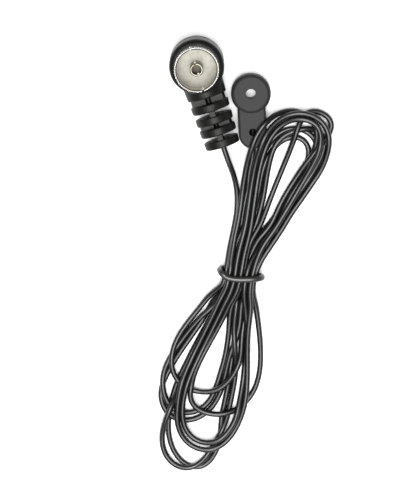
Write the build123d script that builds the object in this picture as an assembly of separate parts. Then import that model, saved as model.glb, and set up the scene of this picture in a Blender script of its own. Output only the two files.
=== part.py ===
from build123d import *
import math
import os

# Wire aerial for a radio: an angled coaxial socket with a segmented flex relief,
# a thin wire wound into a tied hank, and a moulded eyelet to hang the far end by.
# Millimetres. The origin is the middle of the socket body's flat back, which lies on the table.
# +Z points out of the socket's mouth, and the flex relief leaves along -Y.

# Elbow moulding
BODY_DIAMETER = 13.3
BODY_LENGTH = 12.4
BODY_FRONT_ROUND = 1.3
BODY_BACK_ROUND = 0.5

# Flex relief, measured along its axis from the mouth's axis
RELIEF_ROOT_DIAMETER = 10.5
RELIEF_TIP_DIAMETER = 8.5
RELIEF_BOSS_END = 8.2
RELIEF_GROOVES = (1.6, 1.25, 1.0, 1.2)
RELIEF_RINGS = (1.9, 1.9, 1.9, 1.95)
RING_ROUND = 0.35
SIDE_WEB_INSET = 0.5
SIDE_WEB_THICKNESS = 4.4
UPRIGHT_WEB_INSET = 0.2
UPRIGHT_WEB_WIDTH = 1.25

# Outer contact shell
SHELL_DIAMETER = 10.5
SHELL_WALL = 0.45
SHELL_EXPOSED = 8.9
SHELL_SEATED = 5.2
SHELL_LEAD_IN = 0.25
COLLAR_WIDTH = 0.6
COLLAR_THICKNESS = 1.0
COLLAR_LIFT = 0.8
SHELL_SLIT_WIDTH = 0.45
SHELL_SLIT_DEPTH = 5.0

# Insulator and centre contact
SOCKET_DEPTH = 8.3
INSULATOR_THICKNESS = 4.0
CONTACT_DIAMETER = 3.15
CONTACT_BORE = 2.4
CONTACT_BORE_DEPTH = 7.0
CONTACT_RECESS = 0.5
CONTACT_SLOT_WIDTH = 0.5
CONTACT_SLOT_DEPTH = 5.5
CONTACT_TIP_ROUND = 0.2
STEM_DIAMETER = 2.2
FORK_OVERHANG = 1.0

# Wire
CORD_DIAMETER = 1.4
CORE_DIAMETER = 0.65
CORE_OVERHANG = 1.3
SOLDER_DIAMETER = 3.4
STRIPPED_LENGTH = 3.2
RELIEF_STRAIGHT = 3.6
SLEEVE_STRAIGHT = 1.5
BEND_SHARE = 0.45

# Hanging eyelet, lying on its head's flat side
EYELET_CENTRE = (10.35, -10.95)
EYELET_TURN = -15.0
HEAD_DIAMETER = 9.7
HEAD_HEIGHT = 5.4
HEAD_ROUND = 1.0
EYELET_HOLE = 2.5
SLEEVE_WIDTH = 6.9
SLEEVE_THICKNESS = 4.4
SLEEVE_REACH = 13.5
SLEEVE_EDGE_ROUND = 0.7
SLEEVE_BORE_DEPTH = 5.5
PIN_HOLE_DIAMETER = 1.9
PIN_HOLE_REACH = 9.4

# Tied hank, in a frame of its own: the tie's place is its origin, and Y runs up the hank
TIE_CENTRE = (-6.15, -53.8)
HANK_TURN = -28.0
NECK_WIDTH = 8.3
NECK_HEIGHT = 3.8
NECK_SQUEEZE = 0.7
HANK_EDGE_ROUND = 2.0
SLEEVE_CLEARANCE = 0.3
LOOP_POINTS = 7
# Each loop: where it starts, its tip, how far it swells left and right, and how far out it is widest
TOP_LOOP = dict(root=(0, 0), tip=(11.9, 44.2), left=12.9, right=7.2, widest=0.70)
BOTTOM_LOOP = dict(root=(0, 0), tip=(-3.6, -50.9), left=11.2, right=12.2, widest=0.55)
TOP_OPENING = dict(root=(2.3, 12.5), tip=(8.3, 35.8), left=3.4, right=2.6, widest=0.65)
BOTTOM_OPENING = dict(root=(-0.9, -10.6), tip=(-3.1, -29.1), left=2.1, right=2.6, widest=0.75)

# Twist tie
TIE_DIAMETER = 1.4
TIE_LIFT = 1.2
TIE_DIP = -0.5
TIE_LAP = 2.6
TIE_END_SPREAD = 1.45
TIE_BEND = 1.9
TIE_GROOVE_MARGIN = 0.4

# Sizes that follow from the ones above
RELIEF_HEIGHT = RELIEF_ROOT_DIAMETER / 2
RELIEF_LENGTH = RELIEF_BOSS_END + sum(RELIEF_GROOVES) + sum(RELIEF_RINGS)
MOUTH_HEIGHT = BODY_LENGTH + SHELL_EXPOSED
SHELL_BORE = SHELL_DIAMETER - 2 * SHELL_WALL
SHELL_TAIL = BODY_LENGTH - SHELL_SEATED
FLOOR_HEIGHT = MOUTH_HEIGHT - SOCKET_DEPTH
CONTACT_TIP = MOUTH_HEIGHT - CONTACT_RECESS
FORK_END = RELIEF_HEIGHT - FORK_OVERHANG
SLEEVE_HEIGHT = HEAD_HEIGHT / 2
HANK_HEIGHT = TIE_DIAMETER + NECK_HEIGHT
HANK_FRAME = Pos(*TIE_CENTRE) * Rot(0, 0, HANK_TURN)
EYELET_FRAME = Pos(*EYELET_CENTRE) * Rot(0, 0, EYELET_TURN)

# Route of the wire from the flex relief down to the table and up into the hank's neck
CONNECTOR_ROUTE = [
    (0.0, -RELIEF_LENGTH, RELIEF_HEIGHT),
    (0.0, -RELIEF_LENGTH - RELIEF_STRAIGHT, RELIEF_HEIGHT),
    (0.25, -29.3, 2.5),
    (-0.35, -33.6, 1.0),
    (-1.75, -37.9, 0.8),
    (-3.2, -42.2, 1.1),
    (-5.2, -46.4, 2.1),
    (-7.2, -50.0, 3.0),
]

# Route of the wire from the eyelet's sleeve down into the hank's upper loops
EYELET_ROUTE = [
    tuple((EYELET_FRAME * Pos(0, SLEEVE_BORE_DEPTH - SLEEVE_REACH, SLEEVE_HEIGHT)).position),
    tuple((EYELET_FRAME * Pos(0, -SLEEVE_STRAIGHT - SLEEVE_REACH, SLEEVE_HEIGHT)).position),
    (4.0, -29.4, 1.7),
    (2.4, -33.6, 0.9),
]


def pillar(diameter, low, high):
    """Upright cylinder on the Z axis between two heights."""
    return Pos(0, 0, low) * extrude(Circle(diameter / 2), high - low)


def upright_slot(width, reach, low, high):
    """Upright cut through the Z axis, narrow in X and long in Y, between two heights."""
    return Pos(0, 0, low) * extrude(Rectangle(width, reach), high - low)


def wire_cylinder(diameter, start, end):
    """Cylinder on the flex relief's axis, between two distances from the mouth's axis."""
    return Pos(0, 0, RELIEF_HEIGHT) * Rot(90, 0, 0) * pillar(diameter, start, end)


def outer_contact_shell():
    """Plated tube with a lead-in at its mouth, two slits to spring, and a collar that anchors it."""
    collar_low = SHELL_TAIL + COLLAR_LIFT
    shell = pillar(SHELL_DIAMETER, SHELL_TAIL, MOUTH_HEIGHT)
    shell += pillar(SHELL_DIAMETER + 2 * COLLAR_WIDTH, collar_low, collar_low + COLLAR_THICKNESS)
    shell -= pillar(SHELL_BORE, SHELL_TAIL, MOUTH_HEIGHT)
    mouth_edges = shell.edges().filter_by(GeomType.CIRCLE).group_by(Axis.Z)[-1]
    shell = chamfer(mouth_edges.sort_by(SortBy.RADIUS)[0], SHELL_LEAD_IN, SHELL_LEAD_IN / 2)
    slit_reach = SHELL_DIAMETER + 2 * SHELL_WALL
    return shell - upright_slot(SHELL_SLIT_WIDTH, slit_reach, MOUTH_HEIGHT - SHELL_SLIT_DEPTH, MOUTH_HEIGHT)


def contact_insulator():
    """Disc that fills the shell's bore and carries the centre contact's stem."""
    low = FLOOR_HEIGHT - INSULATOR_THICKNESS
    return pillar(SHELL_BORE, low, FLOOR_HEIGHT) - pillar(STEM_DIAMETER, low, FLOOR_HEIGHT)


def wire_core():
    """Bared end of the wire, from its insulation through the fork of the centre contact."""
    return wire_cylinder(CORE_DIAMETER, -CORE_OVERHANG, STRIPPED_LENGTH)


def centre_contact():
    """Slotted tube that takes a plug's pin, on a stem that ends in a fork for the wire."""
    tube = pillar(CONTACT_DIAMETER, FLOOR_HEIGHT, CONTACT_TIP)
    tube = fillet(tube.edges().group_by(Axis.Z)[-1], CONTACT_TIP_ROUND)
    tube -= pillar(CONTACT_BORE, CONTACT_TIP - CONTACT_BORE_DEPTH, CONTACT_TIP)
    slot_floor = CONTACT_TIP - CONTACT_SLOT_DEPTH
    tube -= upright_slot(CONTACT_SLOT_WIDTH, 2 * CONTACT_DIAMETER, slot_floor, CONTACT_TIP)
    stem = pillar(STEM_DIAMETER, FORK_END, FLOOR_HEIGHT)
    stem -= upright_slot(CORE_DIAMETER, 2 * STEM_DIAMETER, FORK_END, RELIEF_HEIGHT)
    return tube + stem - wire_core()


def solder_joint(contact, core):
    """Bead of solder round the fork and the bared wire."""
    return Pos(0, 0, RELIEF_HEIGHT) * Sphere(SOLDER_DIAMETER / 2) - contact - core


def relief_wire():
    """Insulated wire inside the moulding, from the bared end to the relief's tip."""
    return wire_cylinder(CORD_DIAMETER, STRIPPED_LENGTH, RELIEF_LENGTH)


def relief_radius(reach):
    """Radius of the flex relief at a distance from the mouth's axis: it tapers evenly to its tip."""
    taper = (RELIEF_ROOT_DIAMETER - RELIEF_TIP_DIAMETER) / RELIEF_LENGTH
    return (RELIEF_ROOT_DIAMETER - taper * reach) / 2


def relief_ring(start, end):
    """Turned length of the flex relief between two distances, with its outer rims rounded."""
    corners = [(start, 0), (start, relief_radius(start)), (end, relief_radius(end)), (end, 0)]
    section = make_face(Polyline(*corners, close=True))
    rims = section.vertices().sort_by(Axis.Y)[2:]
    section = fillet(rims, RING_ROUND)
    return Pos(0, 0, RELIEF_HEIGHT) * Rot(0, 0, -90) * revolve(section, Axis.X, 360)


def side_webs(start, end):
    """Webs at both sides of the wire, across the groove between two rings, flat above and below."""
    web = wire_cylinder(2 * (relief_radius(end) - SIDE_WEB_INSET), start, end)
    middle = Pos(0, -(start + end) / 2, RELIEF_HEIGHT)
    web &= middle * Box(RELIEF_ROOT_DIAMETER, end - start, SIDE_WEB_THICKNESS)
    return web - middle * Box(CORD_DIAMETER, end - start, SIDE_WEB_THICKNESS)


def upright_web(start, end):
    """Upright web above and below the wire, across the groove between two rings."""
    span = 2 * (relief_radius(end) - UPRIGHT_WEB_INSET)
    return Pos(0, -(start + end) / 2, RELIEF_HEIGHT) * Box(UPRIGHT_WEB_WIDTH, end - start, span)


def elbow_moulding(inserts):
    """Body, boss and flex relief in one moulding, formed round the pieces inside it."""
    body = pillar(BODY_DIAMETER, 0, BODY_LENGTH)
    body = fillet(body.edges().group_by(Axis.Z)[-1], BODY_FRONT_ROUND)
    body = fillet(body.edges().group_by(Axis.Z)[0], BODY_BACK_ROUND)
    moulding = body + relief_ring(0, RELIEF_BOSS_END)
    reach = RELIEF_BOSS_END
    for index, (groove, ring) in enumerate(zip(RELIEF_GROOVES, RELIEF_RINGS)):
        web = upright_web if index % 2 else side_webs
        moulding += web(reach, reach + groove)
        moulding += relief_ring(reach + groove, reach + groove + ring)
        reach += groove + ring
    for insert in inserts:
        moulding -= insert
    return moulding


def sleeve_outline(clearance=0.0):
    """Plan of the eyelet's sleeve, along -Y from the head's middle to a half-round end."""
    width = SLEEVE_WIDTH + 2 * clearance
    straight = SLEEVE_REACH - SLEEVE_WIDTH / 2
    outline = Pos(0, -straight / 2) * Rectangle(width, straight) + Pos(0, -straight) * Circle(width / 2)
    return EYELET_FRAME * outline


def hanging_eyelet(lead):
    """
    Round head with its hole, and the flat sleeve that grips the end of the wire.
    The sleeve's small hole is where a pin of the mould held the wire down.
    """
    head = pillar(HEAD_DIAMETER, 0, HEAD_HEIGHT)
    head = fillet(head.edges().filter_by(GeomType.CIRCLE), HEAD_ROUND)
    sleeve = extrude(sleeve_outline(), SLEEVE_THICKNESS)
    sleeve = fillet(sleeve.faces().filter_by(Plane.XY).edges(), SLEEVE_EDGE_ROUND)
    sleeve = Pos(0, 0, SLEEVE_HEIGHT - SLEEVE_THICKNESS / 2) * sleeve
    hole = pillar(EYELET_HOLE, 0, HEAD_HEIGHT)
    pin_hole = Pos(0, -PIN_HOLE_REACH, 0) * pillar(PIN_HOLE_DIAMETER, SLEEVE_HEIGHT, HEAD_HEIGHT)
    return EYELET_FRAME * head + sleeve - EYELET_FRAME * (hole + pin_hole) - lead


def bend_radii(route):
    """Radius at each corner: a share of the shorter run, over the tangent of half the turn."""
    points = [Vector(*place) for place in route]
    radii = []
    for before, corner, after in zip(points, points[1:], points[2:]):
        turn = math.radians((corner - before).get_angle(after - corner))
        shorter = min((corner - before).length, (after - corner).length)
        radii.append(BEND_SHARE * shorter / math.tan(turn / 2))
    return radii


def cord_tube(name, route):
    """Round wire along straight runs and the arcs between them."""
    radii = bend_radii(route)
    path = FilletPolyline(*route, radius=radii)
    tube = sweep(Plane(origin=path @ 0, z_dir=path % 0) * Circle(CORD_DIAMETER / 2), path)
    expected = math.pi * (CORD_DIAMETER / 2) ** 2 * path.length
    print(name, "bend radii", [round(radius, 1) for radius in radii])
    print(name, "volume", round(tube.volume, 2), "section times length", round(expected, 2))
    return tube


def loop_points(root, tip, left, right, widest):
    """
    Points of a drop-shaped loop, without its two ends at the root.
    It runs out and back as a power of half a sine, and swells sideways as a full sine.
    The power puts the widest place at the given share of the reach.
    """
    axis = Vector(tip[0] - root[0], tip[1] - root[1])
    side = Vector(-axis.Y, axis.X).normalized()
    power = math.log(widest) / math.log(math.sqrt(0.5))
    points = []
    for step in range(1, LOOP_POINTS + 1):
        share = step / (LOOP_POINTS + 1)
        swell = math.sin(2 * math.pi * share)
        belly = left if swell > 0 else right
        place = Vector(*root) + axis * math.sin(math.pi * share) ** power + side * (belly * swell)
        points.append((place.X, place.Y))
    return points


def tie_groove():
    """Space round the neck where the tie lies: a slab across the hank, less the neck's own section."""
    low = min(TIE_DIP, TIE_LIFT - TIE_END_SPREAD) - TIE_DIAMETER / 2 - TIE_GROOVE_MARGIN
    high = TIE_LIFT + TIE_END_SPREAD + TIE_DIAMETER / 2 + TIE_GROOVE_MARGIN
    slab = Pos(0, (low + high) / 2, 0) * Box(4 * NECK_WIDTH, high - low, 2 * HANK_HEIGHT)
    section = Plane.XZ * Pos(0, TIE_DIAMETER + NECK_HEIGHT / 2) * SlotOverall(NECK_WIDTH, NECK_HEIGHT)
    return slab - extrude(section, 2 * (high - low), both=True)


def cord_hank(neighbours):
    """Outer shape of the wound wire: loops above and below a narrow neck, each open in the middle."""
    waist = NECK_WIDTH / 2 + NECK_SQUEEZE
    outline = [(-waist, 0)] + loop_points(**TOP_LOOP)
    outline += [(waist, 0)] + loop_points(**BOTTOM_LOOP)
    hank = extrude(make_face(Spline(outline, periodic=True)), HANK_HEIGHT)
    hank = fillet(hank.faces().filter_by(Plane.XY).edges(), HANK_EDGE_ROUND)
    for opening in (TOP_OPENING, BOTTOM_OPENING):
        rim = [opening["root"]] + loop_points(**opening)
        hank -= extrude(make_face(Spline(rim, periodic=True)), HANK_HEIGHT)
    hank = HANK_FRAME * (hank - tie_groove())
    for neighbour in neighbours:
        hank -= neighbour
    return hank


def twist_tie():
    """Coated tie laid once round the neck, with its two ends side by side under it."""
    side = (NECK_WIDTH + TIE_DIAMETER) / 2
    low = TIE_DIAMETER / 2
    high = HANK_HEIGHT + TIE_DIAMETER / 2
    route = [
        (TIE_LAP, TIE_LIFT + TIE_END_SPREAD, low),
        (-side, TIE_LIFT, low),
        (-side, TIE_LIFT, high),
        (-TIE_LAP, TIE_DIP, high),
        (side, TIE_LIFT, high),
        (side, TIE_LIFT, low),
        (-TIE_LAP, TIE_LIFT - TIE_END_SPREAD, low),
    ]
    path = FilletPolyline(*route, radius=TIE_BEND)
    return HANK_FRAME * sweep(Plane(origin=path @ 0, z_dir=path % 0) * Circle(TIE_DIAMETER / 2), path)


shell = outer_contact_shell()
insulator = contact_insulator()
contact = centre_contact()
core = wire_core()
solder = solder_joint(contact, core)
inner_wire = relief_wire()
connector_wire = cord_tube("connector_lead", CONNECTOR_ROUTE)
eyelet_wire = cord_tube("eyelet_lead", EYELET_ROUTE)
sleeve_room = extrude(sleeve_outline(SLEEVE_CLEARANCE), HANK_HEIGHT)

nodes = {
    "outer_contact_shell": shell,
    "contact_insulator": insulator,
    "centre_contact": contact,
    "wire_core": core,
    "solder_joint": solder,
    "relief_wire": inner_wire,
    "elbow_moulding": elbow_moulding([shell, insulator, contact, core, solder, inner_wire]),
    "connector_lead": connector_wire,
    "cord_hank": cord_hank([connector_wire, eyelet_wire, sleeve_room]),
    "twist_tie": twist_tie(),
    "eyelet_lead": eyelet_wire,
    "hanging_eyelet": hanging_eyelet(eyelet_wire),
}
os.makedirs("parts", exist_ok=True)
for name, solid in nodes.items():
    export_step(solid, f"parts/{name}.step")
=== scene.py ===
import math

import bpy
import numpy as np
from mathutils import Matrix, Vector


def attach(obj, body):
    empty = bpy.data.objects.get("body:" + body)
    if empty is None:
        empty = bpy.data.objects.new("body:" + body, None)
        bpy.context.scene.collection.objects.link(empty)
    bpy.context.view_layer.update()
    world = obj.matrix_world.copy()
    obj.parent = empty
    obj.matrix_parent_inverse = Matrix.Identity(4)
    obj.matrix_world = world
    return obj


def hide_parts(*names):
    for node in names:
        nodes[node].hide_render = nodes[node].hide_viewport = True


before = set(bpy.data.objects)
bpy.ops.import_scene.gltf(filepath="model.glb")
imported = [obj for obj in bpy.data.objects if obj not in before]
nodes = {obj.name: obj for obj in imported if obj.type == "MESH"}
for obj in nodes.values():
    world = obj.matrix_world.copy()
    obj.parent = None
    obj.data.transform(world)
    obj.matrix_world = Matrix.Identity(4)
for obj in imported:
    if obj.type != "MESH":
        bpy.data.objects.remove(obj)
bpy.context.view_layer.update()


# Socket: a nickel-plated split ring pressed round a cream insulator, with a slotted tube
# of duller plate in its middle. Ring and tube are turned from brass and held by the moulding.
def principled(name, colour, roughness, metallic=0.0, specular=0.5):
    """Material with one plain Principled shader, returned with that shader's node."""
    material = bpy.data.materials.new(name)
    material.use_nodes = True
    shader = material.node_tree.nodes["Principled BSDF"]
    shader.inputs["Base Color"].default_value = (*colour, 1.0)
    shader.inputs["Roughness"].default_value = roughness
    shader.inputs["Metallic"].default_value = metallic
    shader.inputs["Specular IOR Level"].default_value = specular
    return material, shader


def dress(name, material):
    """Gives a solid of the frame one material."""
    nodes[name].data.materials.clear()
    nodes[name].data.materials.append(material)


def add_node(material, kind, **settings):
    """New shader node of a material, with its properties set."""
    node = material.node_tree.nodes.new(kind)
    for name, value in settings.items():
        setattr(node, name, value)
    return node


def upright_distance(material, axis_x=0.0, axis_y=0.0):
    """Distance of the shaded point from an upright axis, as a socket."""
    link = material.node_tree.links.new
    place = add_node(material, "ShaderNodeTexCoord")
    shifted = add_node(material, "ShaderNodeVectorMath", operation="SUBTRACT")
    shifted.inputs[1].default_value = (axis_x, axis_y, 0.0)
    flat = add_node(material, "ShaderNodeVectorMath", operation="MULTIPLY")
    flat.inputs[1].default_value = (1.0, 1.0, 0.0)
    length = add_node(material, "ShaderNodeVectorMath", operation="LENGTH")
    link(place.outputs["Object"], shifted.inputs[0])
    link(shifted.outputs["Vector"], flat.inputs[0])
    link(flat.outputs["Vector"], length.inputs[0])
    return length.outputs["Value"]


def colour_steps(material, shader, amount, limits, steps):
    """Base colour that changes in steps as an amount grows from one limit to the other."""
    low, high = limits
    share = add_node(material, "ShaderNodeMapRange")
    share.inputs["From Min"].default_value = low
    share.inputs["From Max"].default_value = high
    ramp = add_node(material, "ShaderNodeValToRGB")
    ramp.color_ramp.interpolation = "CONSTANT"
    ramp.color_ramp.elements.remove(ramp.color_ramp.elements[1])
    ramp.color_ramp.elements[0].color = (*steps[0][1], 1.0)
    for begins, colour in steps[1:]:
        ramp.color_ramp.elements.new((begins - low) / (high - low)).color = (*colour, 1.0)
    link = material.node_tree.links.new
    link(amount, share.inputs["Value"])
    link(share.outputs["Result"], ramp.inputs["Fac"])
    link(ramp.outputs["Color"], shader.inputs["Base Color"])


def noise_value(material, scale, detail=2.0):
    """Value of a soft noise over the part's own coordinates, with so many spots to the metre."""
    place = add_node(material, "ShaderNodeTexCoord")
    noise = add_node(material, "ShaderNodeTexNoise")
    noise.inputs["Scale"].default_value = scale
    noise.inputs["Detail"].default_value = detail
    material.node_tree.links.new(place.outputs["Object"], noise.inputs["Vector"])
    return noise.outputs["Fac"]


def grain(material, shader, scale, depth):
    """Fine bumps of a given depth in the surface."""
    bump = add_node(material, "ShaderNodeBump")
    bump.inputs["Strength"].default_value = 1.0
    bump.inputs["Distance"].default_value = depth
    material.node_tree.links.new(noise_value(material, scale), bump.inputs["Height"])
    material.node_tree.links.new(bump.outputs["Normal"], shader.inputs["Normal"])


MOTTLE_LIMITS = (0.3, 0.7)


def mottle(material, shader, scale, darker, lighter):
    """Base colour that wanders between two tones as a soft noise goes from one limit to the other."""
    low, high = MOTTLE_LIMITS
    share = add_node(material, "ShaderNodeMapRange")
    share.inputs["From Min"].default_value = low
    share.inputs["From Max"].default_value = high
    blend = add_node(material, "ShaderNodeMix", data_type="RGBA")
    blend.inputs["A"].default_value = (*darker, 1.0)
    blend.inputs["B"].default_value = (*lighter, 1.0)
    link = material.node_tree.links.new
    link(noise_value(material, scale), share.inputs["Value"])
    link(share.outputs["Result"], blend.inputs["Factor"])
    link(blend.outputs["Result"], shader.inputs["Base Color"])


# The shell's plate is painted with shade: darker in the bore, nearly black in a line of painted shadow
# at the lead-in, and painted dark on the flat rim, while the wall keeps the bright plate. It changes
# at these distances from the shell's axis
PLATE = (0.50, 0.488, 0.455)
BORE_SHADE = (0.42, 0.40, 0.33)
RIM_SHADE = (0.05, 0.049, 0.046)
LEAD_IN_SHADOW = (0.004, 0.0038, 0.003)
SHELL_LIMITS = (0.0045, 0.0055)
LEAD_IN_RADIUS = 0.00482
RIM_RADIUS = 0.00500
WALL_RADIUS = 0.00524
nickel, nickel_shader = principled("nickel_plate", PLATE, roughness=0.2, metallic=1.0)
shell_plate_and_shade_steps = [
    (SHELL_LIMITS[0], BORE_SHADE),
    (LEAD_IN_RADIUS, LEAD_IN_SHADOW),
    (RIM_RADIUS, RIM_SHADE),
    (WALL_RADIUS, PLATE),
]
colour_steps(nickel, nickel_shader, upright_distance(nickel), SHELL_LIMITS, shell_plate_and_shade_steps)

# The tube of the contact has painted shade in its bore: a darker colour inside its inner radius
CONTACT_PLATE = (0.11, 0.103, 0.083)
CONTACT_BORE_SHADE = (0.03, 0.027, 0.02)
CONTACT_LIMITS = (0.001, 0.0016)
CONTACT_RADIUS = 0.00124
contact, contact_shader = principled("contact_plate", CONTACT_PLATE, roughness=0.35, metallic=1.0)
contact_plate_and_shade_steps = [(CONTACT_LIMITS[0], CONTACT_BORE_SHADE), (CONTACT_RADIUS, CONTACT_PLATE)]
colour_steps(contact, contact_shader, upright_distance(contact), CONTACT_LIMITS, contact_plate_and_shade_steps)

CREAM = (0.33, 0.315, 0.265)
DARKER_CREAM = (0.29, 0.275, 0.23)
LIGHTER_CREAM = (0.38, 0.36, 0.305)
CREAM_SPOTS = 1500.0
cream, cream_shader = principled("cream_insulator", CREAM, roughness=0.5)
mottle(cream, cream_shader, CREAM_SPOTS, DARKER_CREAM, LIGHTER_CREAM)

COPPER = (0.75, 0.40, 0.25)
SOLDER = (0.65, 0.66, 0.68)
copper, _ = principled("copper", COPPER, roughness=0.3, metallic=1.0)
solder, _ = principled("solder", SOLDER, roughness=0.3, metallic=1.0)
dress("outer_contact_shell", nickel)
dress("centre_contact", contact)
dress("contact_insulator", cream)
dress("wire_core", copper)
dress("solder_joint", solder)


# Body and flex relief: one piece of soft black vinyl, moulded round the socket and
# the wire's end, with the fine grain that the mould leaves.
MOULDING_BLACK = (0.005, 0.005, 0.0045)
GRAIN_SPOTS = 1600.0
GRAIN_DEPTH = 0.00008
moulded, moulded_shader = principled("black_moulding", MOULDING_BLACK, roughness=0.43, specular=0.16)
grain(moulded, moulded_shader, GRAIN_SPOTS, GRAIN_DEPTH)
dress("elbow_moulding", moulded)


# Wire: about a metre and a half of thin stranded wire in soft black vinyl.
# It leaves the flex relief, is wound by hand into a hank of loose loops above and below
# a tie, and ends in the sleeve of the hanging eyelet.
CORD_DIAMETER = 0.0014

# The two leads: from the flex relief to the hank, and from the hank into the eyelet's sleeve
CONNECTOR_ROUTE = [
    (0.0, -0.0209, 0.00525),
    (0.0, -0.0245, 0.00525),
    (0.00025, -0.0293, 0.0025),
    (-0.00035, -0.0336, 0.0010),
    (-0.00175, -0.0379, 0.0008),
    (-0.0039, -0.0419, 0.0009),
    (-0.0063, -0.0460, 0.0018),
    (-0.0082, -0.0498, 0.0030),
]
EYELET_ROUTE = [
    (0.0024, -0.0336, 0.0009),
    (0.0040, -0.0294, 0.0017),
    (0.00647, -0.02544, 0.0027),
    (0.00758, -0.0213, 0.0027),
]

# The hank has a frame of its own: the tie is its origin, and Y runs up along it
TIE_CENTRE = Vector((-0.00615, -0.0538, 0.0))
HANK_TURN = math.radians(-28.0)
hank_frame = Matrix.Translation(TIE_CENTRE) @ Matrix.Rotation(HANK_TURN, 4, "Z")

# Three rows of strands under the tie, each nested in the row below
ROW_HEIGHTS = dict(low=0.00209, middle=0.00330, top=0.00451)

# Where the strand goes through the tie, in the order in which it was wound
NECK_PLACES = [
    (-0.0035, "middle"),
    (0.0028, "low"),
    (-0.0028, "top"),
    (0.0028, "top"),
    (0.0000, "top"),
    (0.0035, "middle"),
    (-0.0014, "top"),
    (0.0014, "top"),
    (-0.0007, "middle"),
    (0.0007, "middle"),
    (0.0014, "low"),
    (-0.0028, "low"),
    (0.0021, "middle"),
    (-0.0021, "middle"),
    (0.0000, "low"),
    (-0.0014, "low"),
]

# The turns in the same order, from below the tie to above it and back: the tip, the swell and
# the fullness of the arm out and of the arm back, the layer, and the bulb where a tip has one
TURNS = [
    dict(tip=(-0.0065, -0.0305), swell=(0.0060, 0.0055), fullness=(0.80, 0.75), layer=4),
    dict(tip=(0.0070, 0.0430), swell=(0.0050, 0.0065), fullness=(0.55, 0.65), layer=4),
    dict(tip=(-0.0020, -0.0450), swell=(0.0060, 0.0060), fullness=(0.75, 0.70), layer=7),
    dict(tip=(0.0095, 0.0422), swell=(0.0036, 0.0065), fullness=(0.55, 0.70), layer=7),
    dict(tip=(-0.0020, -0.0355), swell=(0.0045, 0.0095), fullness=(0.65, 0.85), layer=5),
    dict(tip=(0.0100, 0.0425), swell=(0.0048, 0.0075), fullness=(0.56, 0.60), layer=6),
    dict(tip=(-0.0020, -0.0430), swell=(0.0060, 0.0065), fullness=(0.75, 0.85), layer=6),
    dict(tip=(0.0120, 0.0390), swell=(0.0020, 0.0078), fullness=(0.60, 0.50), layer=3),
    dict(tip=(-0.0090, -0.0365), swell=(0.0067, 0.0060), fullness=(0.90, 0.70), layer=3),
    dict(tip=(0.0125, 0.0438), swell=(0.0026, 0.0018), fullness=(1.05, 0.74), layer=5, bulb=0.0056),
    dict(tip=(-0.0030, -0.0503), swell=(0.0025, 0.0080), fullness=(0.65, 0.70), layer=0),
    dict(tip=(0.0093, 0.0388), swell=(0.0054, 0.0030), fullness=(0.55, 0.60), layer=2),
    dict(tip=(-0.0090, -0.0385), swell=(0.0060, 0.0060), fullness=(0.80, 0.70), layer=2),
    dict(tip=(0.0088, 0.0366), swell=(0.0047, 0.0040), fullness=(0.58, 0.62), layer=1),
    dict(tip=(-0.0062, -0.0506), swell=(0.0070, 0.0064), fullness=(0.85, 0.60), layer=3.5),
]
SAMPLE_STEP = 0.001
LAYER_STEP = 1.1 * CORD_DIAMETER
NECK_BLEND = 0.016
WAIST_ABOVE = 0.015
WAIST_BELOW = 0.007
TURN_SAMPLES = 400
ARM_SAMPLES = 30
BULB_POWER = 8


def ease(share):
    """A share from 0 to 1 that starts and ends gently: three of its squares less two of its cubes."""
    return share * share * (3.0 - 2.0 * share)


def evenly(points, step):
    """The same line through points a whole number of equal steps apart, by distance along it."""
    along = np.append(0.0, np.cumsum(np.linalg.norm(np.diff(points, axis=0), axis=1)))
    count = int(round(along[-1] / step))
    places = np.linspace(0.0, along[-1], count + 1)
    return np.stack([np.interp(places, along, axis) for axis in points.T], axis=1)


def turn_points(start, end, tip, swell, fullness, layer, bulb=0.0):
    """
    One turn of the hank from the neck out to its tip and back, with its height.
    It runs out and back as a power of half a sine and swells sideways as a full sine.
    The power and the swell ease from the arm out to the arm back. A bulb widens the tip alone.
    Within the waist both arms are drawn in to their places in the neck.
    The height eases from that of the neck's row to that of the turn's layer.
    """
    share = np.linspace(0.0, 1.0, TURN_SAMPLES)
    eased = ease(share)
    start_place = np.array([start[0], 0.0])
    end_place = np.array([end[0], 0.0])
    axis = np.array(tip) - (start_place + end_place) / 2.0
    side = np.array([-axis[1], axis[0]]) / np.linalg.norm(axis)
    if side @ (start_place - end_place) < 0.0:
        side = -side
    power = fullness[0] + (fullness[1] - fullness[0]) * eased
    width = swell[0] + (swell[1] - swell[0]) * eased
    out = np.sin(np.pi * share).clip(0.0) ** power
    sideways = (width + bulb * out ** BULB_POWER) * np.sin(2.0 * np.pi * share)
    plan = start_place + np.outer(eased, end_place - start_place)
    plan = plan + np.outer(out, axis) + np.outer(sideways, side)
    waist = np.where(plan[:, 1] > 0.0, WAIST_ABOVE, WAIST_BELOW)
    spread = ease((np.abs(plan[:, 1]) / waist).clip(0.0, 1.0))
    neck_x = np.where(share < 0.5, start[0], end[0])
    plan[:, 0] = neck_x + (plan[:, 0] - neck_x) * spread
    away = ease((np.abs(plan[:, 1]) / NECK_BLEND).clip(0.0, 1.0))
    neck_height = ROW_HEIGHTS[start[1]] + (ROW_HEIGHTS[end[1]] - ROW_HEIGHTS[start[1]]) * eased
    layer_height = CORD_DIAMETER / 2.0 + layer * LAYER_STEP
    height = neck_height + (layer_height - neck_height) * away
    return evenly(np.column_stack([plan, height]), SAMPLE_STEP)


def last_arm(start, end_place):
    """The strand from its last place in the neck to the eyelet's lead, easing sideways and down."""
    share = np.linspace(0.0, 1.0, ARM_SAMPLES)
    first = np.array([start[0], 0.0, ROW_HEIGHTS[start[1]]])
    points = first + np.outer(ease(share), np.array(end_place) - first)
    points[:, 1] = end_place[1] * share
    return evenly(points, SAMPLE_STEP)


def smoothed(points, weight, passes):
    """Each point drawn towards the middle of its two neighbours, as far as the weight says."""
    for _ in range(passes):
        middle = (points[:-2] + points[2:]) / 2.0
        points[1:-1] += weight * (middle - points[1:-1])
    return points


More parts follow.
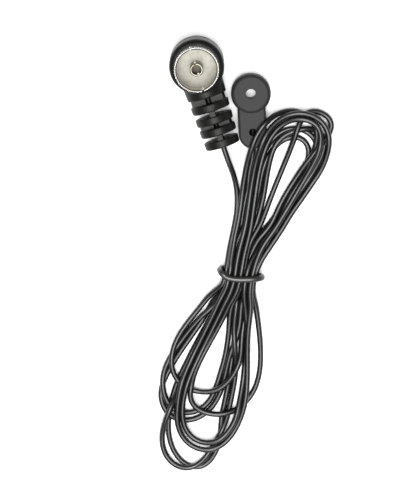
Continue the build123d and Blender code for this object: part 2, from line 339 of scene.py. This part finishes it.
def near_pairs(points, reach, apart):
    """The pairs of points closer than the reach that are not neighbours along the strand."""
    square = (points * points).sum(axis=1)
    distance = square[:, None] + square[None, :] - 2.0 * points @ points.T
    return np.nonzero(np.triu(distance < reach * reach, apart))


# Strands side by side keep a little more than a diameter apart. Strands that cross are lifted
# further, because the spline flattens a hump between its control points
STRAND_GAP = 1.05 * CORD_DIAMETER
CROSSING_GAP = 1.2 * STRAND_GAP
CROSSING_COSINE = 0.9
LEAST_LENGTH = 1e-9


def crossing_pairs(points, pairs):
    """For each pair, whether its two strands cross as seen from above rather than run side by side."""
    first, second = pairs
    way = np.gradient(points[:, :2], axis=0)
    way = way / np.linalg.norm(way, axis=1)[:, None].clip(LEAST_LENGTH)
    return np.abs((way[first] * way[second]).sum(axis=1)) < CROSSING_COSINE


def push_apart(points, pairs, crosses, upward):
    """
    The moves that take the points of each pair that is too close apart, half each.
    Strands side by side move along the line between them. Strands that cross move up and down:
    the first of a pair goes up where upward is 1 and down where it is -1, the second the other way.
    """
    first, second = pairs
    offset = points[first] - points[second]
    length = np.linalg.norm(offset, axis=1).clip(LEAST_LENGTH)
    move = offset * (0.5 * (STRAND_GAP / length - 1.0)).clip(0.0, 1.0)[:, None]
    beside = (offset[:, :2] ** 2).sum(axis=1)
    needed = np.sqrt((CROSSING_GAP * CROSSING_GAP - beside).clip(0.0))
    lift = 0.5 * upward * (needed - upward * offset[:, 2]).clip(0.0, STRAND_GAP)
    move[crosses] = 0.0
    move[crosses, 2] = lift[crosses]
    moves = np.zeros_like(points)
    np.add.at(moves, first, move)
    np.add.at(moves, second, -move)
    return moves


def to_hank(points):
    """Points of the part's frame in the hank's own frame."""
    return np.array([hank_frame.inverted() @ Vector(point) for point in points])


lead_in = to_hank(CONNECTOR_ROUTE)
lead_out = to_hank(EYELET_ROUTE)
stretches = []
for turn, start, end in zip(TURNS, NECK_PLACES, NECK_PLACES[1:]):
    stretches.append(turn_points(start, end, **turn)[:-1])
stretches.append(last_arm(NECK_PLACES[-1], lead_out[0])[:-1])
turns_plan = np.concatenate(stretches)

# The eyelet's sleeve lies under the edge of the hank, so strands may rest on it.
# Its top is taken 0.2 mm high, to keep the smoothed strands out of it
EYELET_HOLE = (0.01035, -0.01095, 0.0)
SLEEVE_REACH = 0.0135
SLEEVE_WIDTH = 0.0069
SLEEVE_TOP = 0.0051
SLEEVE_ROUND = 0.0007
eyelet_place = to_hank([EYELET_HOLE])[0, :2]
sleeve_way = (lead_out[-2] - lead_out[-1])[:2]
sleeve_way = sleeve_way / np.linalg.norm(sleeve_way)


def lowest_height(points):
    """How low a strand can lie: on the table, or on the sleeve's flat top and its rounded edge."""
    offset = points[:, :2] - eyelet_place
    along = (offset @ sleeve_way).clip(0.0, SLEEVE_REACH - SLEEVE_WIDTH / 2.0)
    beside = np.linalg.norm(offset - np.outer(along, sleeve_way), axis=1)
    past_flat = beside - (SLEEVE_WIDTH / 2.0 - SLEEVE_ROUND)
    edge = SLEEVE_ROUND + CORD_DIAMETER / 2.0
    rise = np.sqrt((edge * edge - past_flat.clip(0.0) ** 2).clip(0.0))
    on_sleeve = SLEEVE_TOP - SLEEVE_ROUND + rise
    return np.where(past_flat < edge, on_sleeve, CORD_DIAMETER / 2.0)


# The hank is let down onto the table: every strand sinks until the table, the sleeve or
# another strand carries it. Strands that touch move apart, and where two cross, the one of
# the higher layer goes over the other. The leads and the strands under the tie are held
SETTLE_ROUNDS = 520
LAST_ROUNDS = 20
SEARCH_EVERY = 6
SEARCH_REACH = 1.5 * STRAND_GAP
NEIGHBOURS = 4
PUSHES = 6
SINK = 0.00003
SMOOTHING = 0.3
SMOOTH_PASSES = 2
LEVELLING = 0.5
LEVEL_PASSES = 1
HOLD_PLACE = 0.95
HELD_LENGTH = 0.0022
plan = np.concatenate([lead_in, turns_plan, lead_out])
held = np.abs(plan[:, 1]) < HELD_LENGTH
held[: len(lead_in)] = True
held[-len(lead_out):] = True
hank = plan.copy()
for settle_round in range(SETTLE_ROUNDS):
    if settle_round % SEARCH_EVERY == 0:
        pairs = near_pairs(hank, SEARCH_REACH, NEIGHBOURS)
        crosses = crossing_pairs(hank, pairs)
        upward = np.sign(plan[pairs[0], 2] - plan[pairs[1], 2])
    sinking = settle_round < SETTLE_ROUNDS - LAST_ROUNDS
    if sinking:
        hank[:, 2] -= SINK
    for _ in range(PUSHES):
        hank += push_apart(hank, pairs, crosses, upward)
        hank[held] = plan[held]
    drift = smoothed(hank - plan, SMOOTHING, SMOOTH_PASSES)
    level = smoothed(plan[:, 2:] + drift[:, 2:], LEVELLING, LEVEL_PASSES)
    drift[:, 2:] = level - plan[:, 2:]
    if sinking:
        drift[:, :2] *= HOLD_PLACE
    hank = plan + drift
    hank[:, 2] = np.maximum(hank[:, 2], lowest_height(hank))
    hank[held] = plan[held]

# The wire's control points: the first lead, every other point of the turns, and the last lead
CONTROL_STEP = 2
turns = hank[len(lead_in):-len(lead_out)]
route = [Vector(point) for point in CONNECTOR_ROUTE]
route += [hank_frame @ Vector(point) for point in turns[CONTROL_STEP::CONTROL_STEP]]
route += [Vector(point) for point in EYELET_ROUTE]


def nurbs_wire(name, points, diameter):
    """Curve of one open NURBS spline with the points as its control points, round in section."""
    curve = bpy.data.curves.new(name, "CURVE")
    curve.dimensions = "3D"
    curve.bevel_depth = diameter / 2.0
    curve.bevel_resolution = 5
    curve.resolution_u = 4
    curve.use_fill_caps = True
    spline = curve.splines.new("NURBS")
    spline.points.add(len(points) - 1)
    weighted = np.column_stack([np.array(points), np.ones(len(points))])
    spline.points.foreach_set("co", weighted.ravel())
    spline.order_u = 3
    spline.use_endpoint_u = True
    wire = bpy.data.objects.new(name, curve)
    bpy.context.scene.collection.objects.link(wire)
    return wire


WIRE_BLACK = (0.0025, 0.0025, 0.0025)
insulation, _ = principled("wire_insulation", WIRE_BLACK, roughness=0.38, specular=0.55)
dress("relief_wire", moulded)
aerial_wire = nurbs_wire("aerial_wire", route, CORD_DIAMETER)
aerial_wire.data.materials.append(insulation)
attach(aerial_wire, "root")
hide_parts("connector_lead", "cord_hank", "eyelet_lead")


# Tie: a short length of coated wire, bent by hand once round the neck of the hank,
# with its two ends tucked in under it.
TIE_BLACK = (0.016, 0.016, 0.015)
TIE_RADIUS = 0.00076
TIE_SIDES = 24
BEND_SAMPLES = 16
RINGS_PER_RADIUS = 4.0
LEAST_DOME = 0.02
TIE_CORNERS = [
    (0.0026, 0.00265, 0.00076),
    (-0.0053, 0.0012, 0.00076),
    (-0.0053, 0.0012, 0.0063),
    (-0.0026, -0.0005, 0.0060),
    (0.0053, 0.0012, 0.0063),
    (0.0053, 0.0012, 0.00076),
    (-0.0026, -0.00025, 0.00076),
]


def bent_path(corners, samples):
    """Path in which each corner is a parabola between the middles of the runs on its two sides."""
    corners = np.array(corners)
    middles = (corners[:-1] + corners[1:]) / 2.0
    share = np.linspace(0.0, 1.0, samples, endpoint=False)[None, :, None]
    first = middles[:-1, None] * (1.0 - share) ** 2
    bends = first + 2.0 * share * (1.0 - share) * corners[1:-1, None] + share ** 2 * middles[1:, None]
    return np.concatenate([corners[:1], bends.reshape(-1, 3), middles[-1:], corners[-1:]])


def tube(name, path, radius, around):
    """
    Round tube along a path, closed by domed ends.
    Each ring is a circle square to the path, turned as little as can be from the ring before it.
    Within one radius of an end the rings shrink as a quarter of a circle does.
    """
    path = evenly(path, radius / RINGS_PER_RADIUS)
    along = np.gradient(path, axis=0)
    along /= np.linalg.norm(along, axis=1)[:, None]
    first_side = np.cross(along[0], (0.0, 0.0, 1.0))
    sides = [first_side / np.linalg.norm(first_side)]
    for way in along[1:]:
        side = sides[-1] - way * (sides[-1] @ way)
        sides.append(side / np.linalg.norm(side))
    sides = np.array(sides)
    ups = np.cross(along, sides)
    step = np.linalg.norm(path[1] - path[0])
    from_end = np.minimum(np.arange(len(path)), np.arange(len(path))[::-1]) * step
    dome = np.sqrt(1.0 - (1.0 - (from_end / radius).clip(0.0, 1.0)) ** 2).clip(LEAST_DOME)
    turn = np.linspace(0.0, 2.0 * np.pi, around, endpoint=False)
    ring = np.cos(turn)[None, :, None] * sides[:, None] + np.sin(turn)[None, :, None] * ups[:, None]
    points = path[:, None] + radius * dome[:, None, None] * ring
    index = np.arange(len(path) * around).reshape(len(path), around)
    ahead = np.roll(index, -1, axis=1)
    quads = np.stack([index[:-1], ahead[:-1], ahead[1:], index[1:]], axis=-1).reshape(-1, 4)
    mesh = bpy.data.meshes.new(name)
    faces = quads.tolist() + [index[0, ::-1].tolist(), index[-1].tolist()]
    mesh.from_pydata(points.reshape(-1, 3).tolist(), [], faces)
    mesh.polygons.foreach_set("use_smooth", np.ones(len(faces), dtype=bool))
    piece = bpy.data.objects.new(name, mesh)
    bpy.context.scene.collection.objects.link(piece)
    return piece


tie_path = np.array([hank_frame @ Vector(point) for point in bent_path(TIE_CORNERS, BEND_SAMPLES)])
hank_tie = tube("hank_tie", tie_path, TIE_RADIUS, TIE_SIDES)
coating, _ = principled("tie_coating", TIE_BLACK, roughness=0.38, specular=0.6)
hank_tie.data.materials.append(coating)
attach(hank_tie, "root")
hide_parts("twist_tie")


# Hanging eyelet: a black moulded end with a round head, a hole for a pin or hook,
# and a flat sleeve that grips the wire.
# The pin hole in the sleeve is painted near black inside its radius: painted shade in the hole.
PIN_HOLE = (0.00792, -0.02003)
PIN_HOLE_RADIUS = 0.00098
PIN_HOLE_LIMITS = (0.0005, 0.0015)
EYELET_BLACK = (0.018, 0.018, 0.018)
PIN_HOLE_SHADE = (0.001, 0.001, 0.001)
eyelet_skin, eyelet_shader = principled("black_eyelet", EYELET_BLACK, roughness=0.5, specular=0.13)
pin_hole_shade_steps = [(PIN_HOLE_LIMITS[0], PIN_HOLE_SHADE), (PIN_HOLE_RADIUS, EYELET_BLACK)]
from_hole = upright_distance(eyelet_skin, *PIN_HOLE)
colour_steps(eyelet_skin, eyelet_shader, from_hole, PIN_HOLE_LIMITS, pin_hole_shade_steps)
grain(eyelet_skin, eyelet_shader, GRAIN_SPOTS, GRAIN_DEPTH)
dress("hanging_eyelet", eyelet_skin)


# Table: a plain pale sheet under the whole part,
# which runs well past the picture on every side.
FLOOR_HALF = 1.5
TABLE_WHITE = (0.88, 0.88, 0.88)
floor_mesh = bpy.data.meshes.new("floor")
floor_corners = [
    (-FLOOR_HALF, -FLOOR_HALF, 0.0),
    (FLOOR_HALF, -FLOOR_HALF, 0.0),
    (FLOOR_HALF, FLOOR_HALF, 0.0),
    (-FLOOR_HALF, FLOOR_HALF, 0.0),
]
floor_mesh.from_pydata(floor_corners, [], [(0, 1, 2, 3)])
floor = bpy.data.objects.new("floor", floor_mesh)
bpy.context.scene.collection.objects.link(floor)
white, _ = principled("white_table", TABLE_WHITE, roughness=0.7)
floor_mesh.materials.append(white)


# Camera: a long lens high above the part, leaning a little towards the socket's end,
# as the photograph was taken.
PICTURE_TURN = math.radians(17.9)
picture_right = Vector((math.cos(PICTURE_TURN), -math.sin(PICTURE_TURN), 0.0))
picture_up = Vector((math.sin(PICTURE_TURN), math.cos(PICTURE_TURN), 0.0))
TILT = math.radians(9.6)
DISTANCE = 0.55
LENS = 159.2
SENSOR = 36.0
TARGET_RIGHT = 0.00201
TARGET_DOWN = 0.04661
up = Vector((0.0, 0.0, 1.0))
target = TARGET_RIGHT * picture_right - TARGET_DOWN * picture_up
towards = math.sin(TILT) * picture_up + math.cos(TILT) * up
camera_data = bpy.data.cameras.new("camera")
camera_data.sensor_fit = "VERTICAL"
camera_data.sensor_height = SENSOR
camera_data.lens = LENS
camera_data.clip_start = 0.01
camera = bpy.data.objects.new("camera", camera_data)
bpy.context.scene.collection.objects.link(camera)
camera_up = towards.cross(picture_right)
turned = Matrix((picture_right, camera_up, towards)).transposed().to_4x4()
camera.matrix_world = Matrix.Translation(target + DISTANCE * towards) @ turned
bpy.context.scene.camera = camera


# Light: a soft panel straight above the table, weaker ones to the left and towards
# the hank's end, and a dim room round them.
def soft_panel(name, place, size, watts):
    """Square area light that faces the middle of the picture."""
    data = bpy.data.lights.new(name, "AREA")
    data.shape = "SQUARE"
    data.size = size
    data.energy = watts
    light = bpy.data.objects.new(name, data)
    bpy.context.scene.collection.objects.link(light)
    facing = (place - target).to_track_quat("Z", "Y").to_matrix().to_4x4()
    light.matrix_world = Matrix.Translation(place) @ facing


PANEL_DISTANCE = 0.75
SIDE_LEAN = 0.40
NEAR_LEAN = 0.62
ROOM_STRENGTH = 0.12
side_way = (-SIDE_LEAN * picture_right + SIDE_LEAN * picture_up + up).normalized()
near_way = (up - NEAR_LEAN * picture_up).normalized()
soft_panel("side_panel", target + PANEL_DISTANCE * side_way, size=0.25, watts=1.0)
soft_panel("overhead_panel", target + PANEL_DISTANCE * up, size=0.38, watts=8.5)
soft_panel("near_panel", target + PANEL_DISTANCE * near_way, size=0.32, watts=3.5)
room = bpy.data.worlds.new("room")
room.use_nodes = True
background = room.node_tree.nodes["Background"]
background.inputs["Color"].default_value = (1.0, 1.0, 1.0, 1.0)
background.inputs["Strength"].default_value = ROOM_STRENGTH
bpy.context.scene.world = room
bpy.context.scene.view_settings.view_transform = "Standard"
